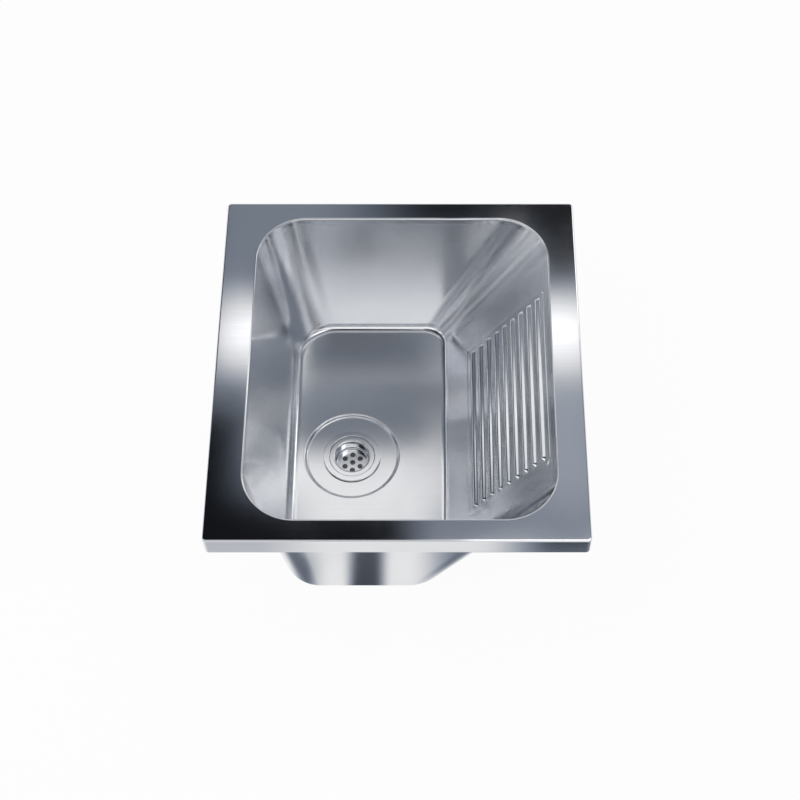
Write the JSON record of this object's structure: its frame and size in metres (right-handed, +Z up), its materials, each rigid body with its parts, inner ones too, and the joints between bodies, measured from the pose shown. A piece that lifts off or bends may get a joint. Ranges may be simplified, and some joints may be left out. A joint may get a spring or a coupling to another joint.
{
  "type": "laundry sink",
  "caption": "Square stainless steel laundry sink with a deep lopsided bowl, a ribbed washboard on its sloping wall, a folded lip and a flanged waste with a lift-out strainer cup.",
  "frame": {"origin": "middle of the seat plane under the folded lip, where the sink rests on its cabinet", "axes": "+X to the right, towards the washboard; +Y to the back; +Z up, out of the bowl"},
  "size_m": [0.5, 0.54, 0.297],
  "materials": {
    "deck_steel": "satin brushed",
    "bowl_steel": "satin polished",
    "board_steel": "satin polished",
    "waste_steel": "polished",
    "strainer_steel": "polished",
    "gasket_rubber": "matte",
    "washer_plastic": "matte",
    "nut_brass": "turned",
    "pad_rubber": "matte",
    "clip_steel": "zinc plated"
  },
  "bodies": {
    "sink": {"deck": "deck_steel", "bowl": "bowl_steel", "washboard": "board_steel", "waste_body": "waste_steel", "flange_gasket": "gasket_rubber", "lower_gasket": "gasket_rubber", "friction_washer": "washer_plastic", "backnut": "nut_brass", "sound_pad": "pad_rubber", "clip_left_front": "clip_steel", "clip_left_back": "clip_steel", "clip_right_front": "clip_steel", "clip_right_back": "clip_steel"},
    "strainer": {"strainer_cup": "strainer_steel"}
  },
  "joints": [
    {"name": "strainer_lift", "type": "slide", "parent": "sink", "child": "strainer", "axis": [0, 0, 1], "range_m": [0, 0.26]}
  ]
}
